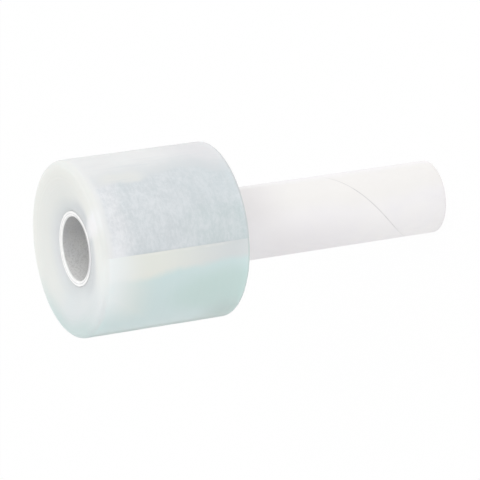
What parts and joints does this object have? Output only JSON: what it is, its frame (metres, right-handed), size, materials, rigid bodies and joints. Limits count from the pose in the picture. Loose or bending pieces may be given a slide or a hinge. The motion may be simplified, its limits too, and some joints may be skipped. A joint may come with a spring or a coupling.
{
  "type": "stretch wrap roll",
  "caption": "Hand roll of clear stretch film wound at one end of a long white paper tube, whose bare end is the handle; standing on the handle's cut end.",
  "frame": {"origin": "centre of the handle's cut end, the face that the roll stands on", "axes": "+Z along the roll's axis, from the handle up to the film; the film's loose tail lies between +X and -Y, and its cut edge is just past -Y"},
  "size_m": [0.105, 0.1053, 0.2431],
  "materials": {
    "core_paper": "matte",
    "stretch_film": "satin"
  },
  "bodies": {
    "root": {"core_tube": "core_paper", "film_roll": "stretch_film"}
  },
  "joints": []
}
